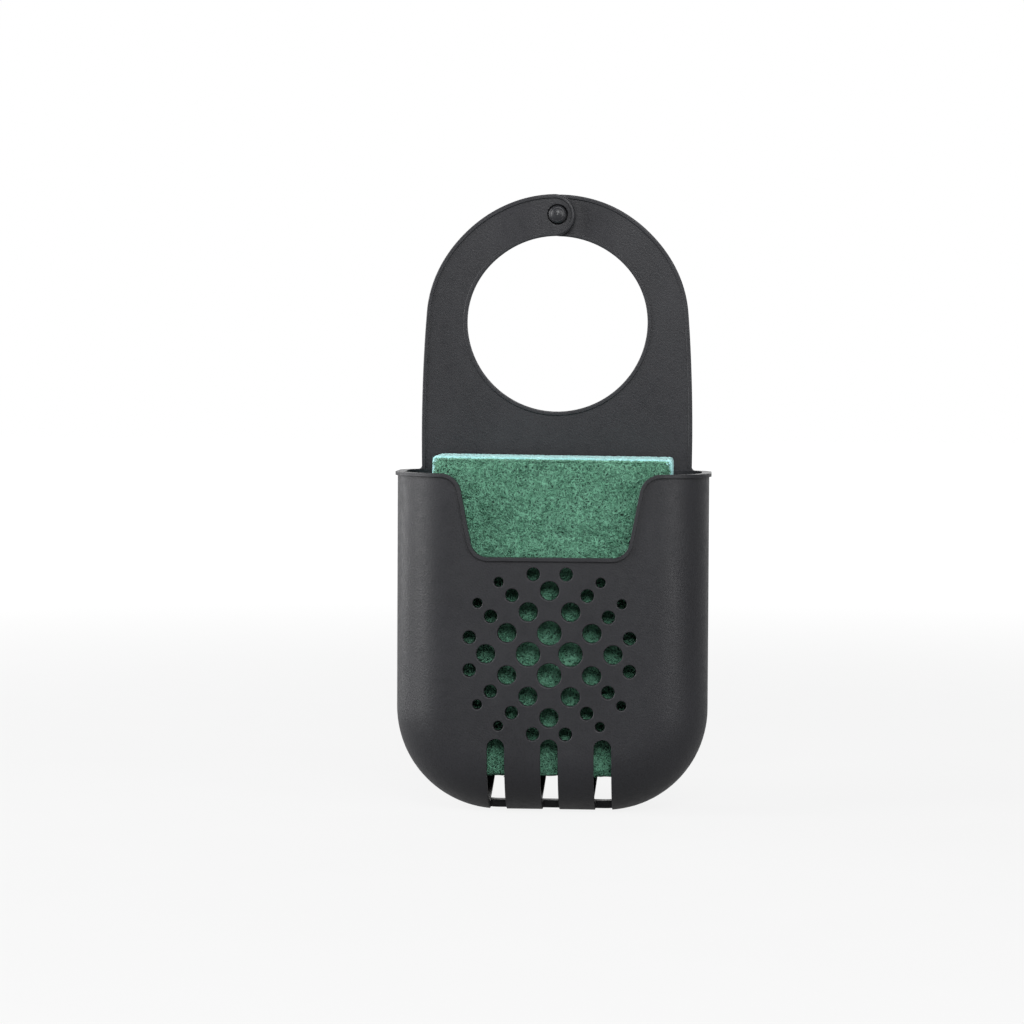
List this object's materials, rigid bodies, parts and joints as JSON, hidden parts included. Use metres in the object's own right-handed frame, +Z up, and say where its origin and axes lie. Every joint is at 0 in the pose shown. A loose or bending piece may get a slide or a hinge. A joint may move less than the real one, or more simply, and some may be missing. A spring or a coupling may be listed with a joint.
{
  "type": "sponge holder",
  "caption": "Drained pocket for a kitchen sponge on a flat back plate whose two strap ends close round a tap as a ring and snap together; the sponge lifts out.",
  "frame": {"origin": "centre of the tap ring, halfway through the thickness of the back plate", "axes": "+Z up from the pocket to the ring, -Y out of the front face, +X to the right as seen from the front"},
  "size_m": [0.0922, 0.042, 0.1812],
  "materials": {
    "moulding": "fine matt moulded grain",
    "stud": "satin",
    "foam": "open-cell foam",
    "scourer": "non-woven abrasive fibre"
  },
  "bodies": {
    "holder": {"pocket_shell": "moulding", "back_plate": "moulding"},
    "left_strap": {"left_arm": "moulding"},
    "right_strap": {"right_arm": "moulding", "press_stud": "stud"},
    "sponge": {"sponge_foam": "foam", "scouring_pad": "scourer"}
  },
  "joints": [
    {"name": "left_strap_flex", "type": "hinge", "parent": "holder", "child": "left_strap", "pos_m": [0, 0, 0], "axis": [1, 0, 0], "range_deg": [0, 70], "stiffness_Nm_per_rad": 0.05},
    {"name": "right_strap_flex", "type": "hinge", "parent": "holder", "child": "right_strap", "pos_m": [0, 0, 0], "axis": [-1, 0, 0], "range_deg": [0, 70], "stiffness_Nm_per_rad": 0.05},
    {"name": "sponge_lift", "type": "slide", "parent": "holder", "child": "sponge", "axis": [0, 0, 1], "range_m": [0, 0.15]}
  ]
}
